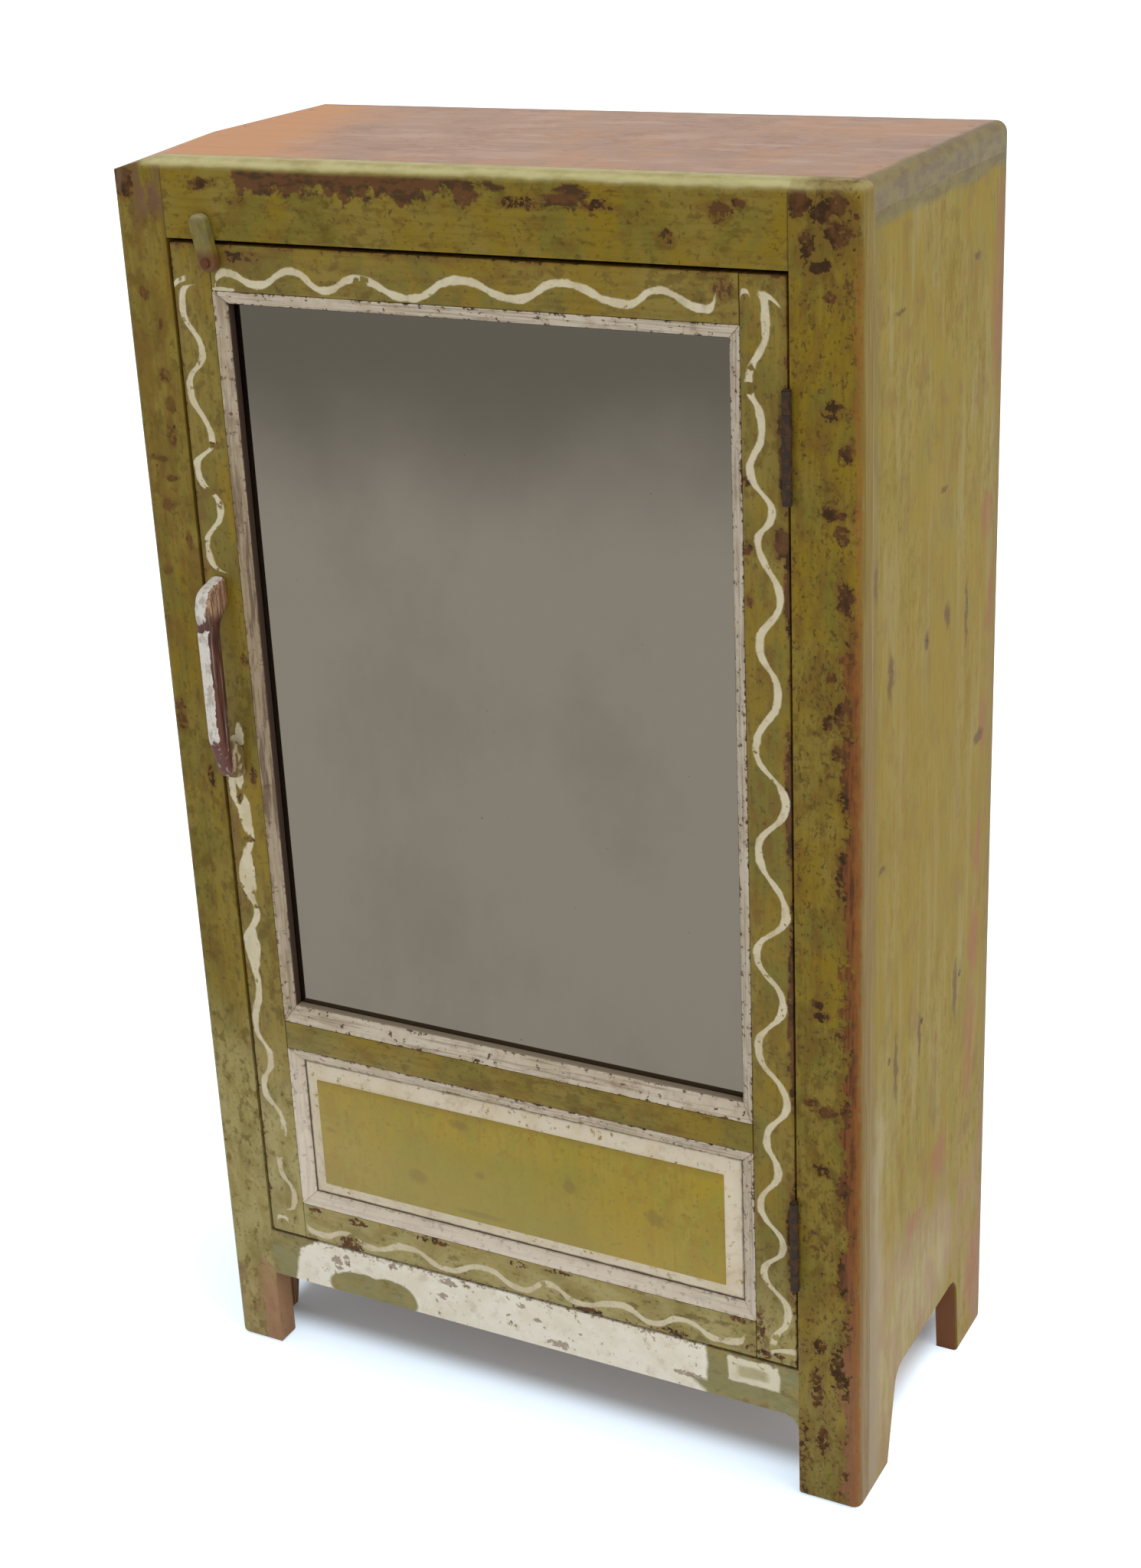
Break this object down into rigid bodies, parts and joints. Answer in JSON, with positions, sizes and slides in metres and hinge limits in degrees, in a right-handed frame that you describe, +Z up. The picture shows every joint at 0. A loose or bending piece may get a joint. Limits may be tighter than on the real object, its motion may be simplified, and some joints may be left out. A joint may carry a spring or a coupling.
{
  "type": "mirror door cupboard",
  "caption": "Narrow free-standing painted wooden cupboard with a hinged mirror door over a raised panel, a bow handle, a turn button and shelves inside.",
  "frame": {"origin": "on the floor, in the middle of the ground that the cupboard and its handle cover", "axes": "+X to the right seen from the front, +Y to the back, +Z up"},
  "size_m": [0.605, 0.328, 1.06],
  "materials": {
    "green_paint": "worn olive green paint over a red-brown ground",
    "side_paint": "thin khaki green paint with the grain showing",
    "top_paint": "red-brown paint worn along the grain",
    "apron_paint": "chipped cream paint with green patches",
    "cream_paint": "chipped cream paint",
    "panel_paint": "olive gold field with a cream margin",
    "handle_paint": "cream paint worn to red-brown",
    "bare_wood": "old unpainted pine",
    "silvered_glass": "old silvered glass",
    "old_iron": "dark rusted iron"
  },
  "bodies": {
    "case": {"apron_rail": "apron_paint", "back_board_1": "bare_wood", "back_board_2": "bare_wood", "back_board_3": "bare_wood", "back_board_4": "bare_wood", "back_nails": "old_iron", "bottom_board": "bare_wood", "hinge_case_screws": "old_iron", "left_front_stile": "green_paint", "left_shelf_nails": "old_iron", "left_side": "side_paint", "lower_hinge_case_leaf": "old_iron", "lower_hinge_pin": "old_iron", "lower_shelf": "bare_wood", "right_front_stile": "green_paint", "right_shelf_nails": "old_iron", "right_side": "side_paint", "top_board": "top_paint", "top_nails": "old_iron", "top_rail": "green_paint", "upper_hinge_case_leaf": "old_iron", "upper_hinge_pin": "old_iron", "upper_shelf": "bare_wood"},
    "door": {"backing_sprigs": "old_iron", "button_screw": "old_iron", "door_bottom_rail": "green_paint", "door_free_stile": "green_paint", "door_hinge_stile": "green_paint", "door_middle_rail": "green_paint", "door_top_rail": "green_paint", "handle_screws": "old_iron", "hinge_door_screws": "old_iron", "lower_hinge_door_leaf": "old_iron", "mirror_backing": "bare_wood", "mirror_glass": "silvered_glass", "mirror_moulding_bottom": "cream_paint", "mirror_moulding_left": "cream_paint", "mirror_moulding_right": "cream_paint", "mirror_moulding_top": "cream_paint", "panel_moulding_bottom": "cream_paint", "panel_moulding_left": "cream_paint", "panel_moulding_right": "cream_paint", "panel_moulding_top": "cream_paint", "pull_handle": "handle_paint", "raised_panel": "panel_paint", "upper_hinge_door_leaf": "old_iron"},
    "turn_button": {"turn_button": "green_paint"}
  },
  "joints": [
    {"name": "door_hinge", "type": "hinge", "parent": "case", "child": "door", "pos_m": [0.2492, -0.1399, 0.56], "axis": [0, 0, 1], "range_deg": [0, 170]},
    {"name": "button_pivot", "type": "hinge", "parent": "door", "child": "turn_button", "pos_m": [-0.217, -0.136, 0.985], "axis": [0, 1, 0], "range_deg": [-79, 101]}
  ]
}
